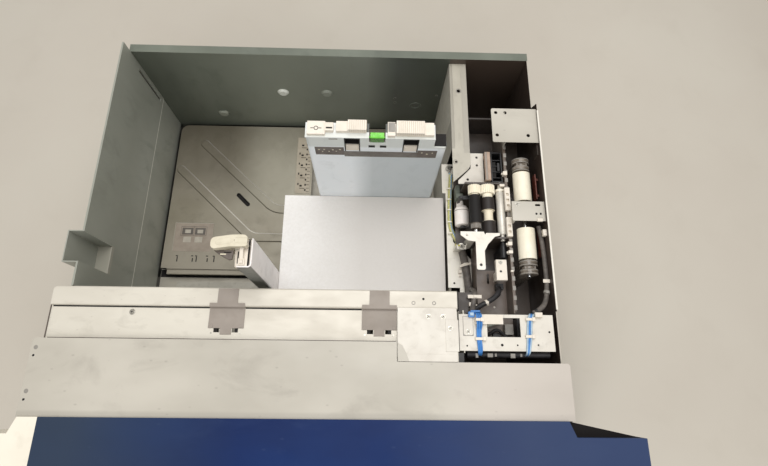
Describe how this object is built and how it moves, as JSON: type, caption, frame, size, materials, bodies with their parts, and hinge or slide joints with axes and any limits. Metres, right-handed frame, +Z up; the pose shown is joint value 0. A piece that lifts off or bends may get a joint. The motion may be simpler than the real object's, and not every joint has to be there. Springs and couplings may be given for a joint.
{
  "type": "paper feed drawer of a digital production press",
  "caption": "Pull-out paper feed drawer with lift plate, paper stack, side and end guides, feed rollers, front rail and navy front panel.",
  "frame": {"origin": "on the underside of the floor pan, midway across the front panel and between its face and the back flange", "axes": "+X along the sheets' travel to the feed side, +Y into the machine, +Z up"},
  "size_m": [0.928, 0.7072, 0.448],
  "materials": {
    "zinc_sheet": "satin",
    "grey_green_paint": "satin",
    "light_sheet": "satin",
    "cream_paint": "satin",
    "warm_grey_plastic": "matte",
    "beige_paint": "satin",
    "navy_plastic": "matte",
    "cream_plastic": "satin",
    "black_sheet": "satin",
    "tan_felt": "matte",
    "pale_plastic": "matte",
    "white_plastic": "satin",
    "black_plastic": "matte",
    "clear_tube": "gloss",
    "black_tape": "matte",
    "warm_grey_paint": "satin",
    "paper": "matte",
    "blue_grey_paint": "satin",
    "green_plastic": "gloss",
    "lilac_grey_paint": "satin",
    "black_rubber": "matte",
    "bright_steel": "polished",
    "cream_rubber": "matte"
  },
  "bodies": {
    "drawer": {"floor_pan": "zinc_sheet", "left_wall": "grey_green_paint", "back_wall": "grey_green_paint", "front_wall": "grey_green_paint", "panel_plate": "zinc_sheet", "right_wall": "light_sheet", "front_rail": "cream_paint", "rail_inserts": "warm_grey_plastic", "rail_end_plate": "cream_paint", "front_cover": "beige_paint", "front_panel": "navy_plastic", "panel_end_trim": "cream_plastic", "slide_rails": "zinc_sheet", "feed_side_wall": "light_sheet", "feed_ledge": "light_sheet", "feed_rear_strip": "light_sheet", "bulkheads": "black_sheet", "feed_deck": "black_sheet", "roller_channel": "black_sheet", "channel_cover": "light_sheet", "upper_bracket": "light_sheet", "felt_bar": "tan_felt", "sensor_block": "black_plastic", "feed_solenoid": "pale_plastic", "shaft_plates": "black_sheet", "tee_bracket": "cream_plastic", "feed_comb": "white_plastic", "feed_shelf": "black_sheet", "terminal_blocks": "white_plastic", "takeaway_bearings": "black_plastic", "roller_bracket": "light_sheet", "corner_bracket": "light_sheet", "wire_tube": "clear_tube", "black_harness": "black_tape", "guide_tracks": "zinc_sheet"},
    "lift": {"lift_plate": "warm_grey_paint", "plate_scale": "light_sheet", "paper_stack": "paper"},
    "rear_guide": {"rear_side_guide": "blue_grey_paint", "guide_caps": "white_plastic"},
    "latch": {"guide_latch": "green_plastic"},
    "front_guide": {"front_side_guide": "blue_grey_paint"},
    "tail_guide": {"end_guide": "lilac_grey_paint", "end_guide_head": "white_plastic"},
    "tail_lever": {"end_guide_lever": "cream_plastic"},
    "feed_shaft": {"feed_roller": "black_rubber", "feed_gear": "cream_plastic"},
    "pull_shaft": {"pull_roller": "black_rubber", "pull_gear": "cream_plastic"},
    "idler": {"idler_roller": "bright_steel"},
    "takeaway": {"takeaway_shaft": "bright_steel", "takeaway_rollers": "cream_rubber"}
  },
  "joints": [
    {"name": "lift_rise", "type": "slide", "parent": "drawer", "child": "lift", "axis": [0, 0, 1], "range_m": [0, 0.09]},
    {"name": "rear_guide_slide", "type": "slide", "parent": "drawer", "child": "rear_guide", "axis": [0, 1, 0], "range_m": [0, 0.06]},
    {"name": "front_guide_slide", "type": "slide", "parent": "drawer", "child": "front_guide", "axis": [0, 1, 0], "range_m": [-0.06, 0]},
    {"name": "latch_tilt", "type": "hinge", "parent": "rear_guide", "child": "latch", "pos_m": [0.081, 0.1244, 0.4285], "axis": [-1, 0, 0], "range_deg": [0, 30]},
    {"name": "end_guide_slide", "type": "slide", "parent": "drawer", "child": "tail_guide", "axis": [-1, 0, 0], "range_m": [0, 0.19]},
    {"name": "end_lever_lift", "type": "hinge", "parent": "tail_guide", "child": "tail_lever", "pos_m": [-0.1005, -0.0355, 0.424], "axis": [0, 1, 0], "range_deg": [0, 20]},
    {"name": "feed_turn", "type": "hinge", "parent": "drawer", "child": "feed_shaft", "pos_m": [0.249, 0.062, 0.288], "axis": [0, 1, 0], "continuous": true},
    {"name": "pull_turn", "type": "hinge", "parent": "drawer", "child": "pull_shaft", "pos_m": [0.271, 0.062, 0.288], "axis": [0, 1, 0], "continuous": true},
    {"name": "idler_turn", "type": "hinge", "parent": "drawer", "child": "idler", "pos_m": [0.2925, 0.062, 0.288], "axis": [0, 1, 0], "continuous": true},
    {"name": "takeaway_turn", "type": "hinge", "parent": "drawer", "child": "takeaway", "pos_m": [0.328, 0.05, 0.3], "axis": [0, 1, 0], "continuous": true}
  ],
  "couplings": [
    {"joint": "front_guide_slide", "follows": "rear_guide_slide", "ratio": -1},
    {"joint": "pull_turn", "follows": "feed_turn", "ratio": -0.83333}
  ]
}
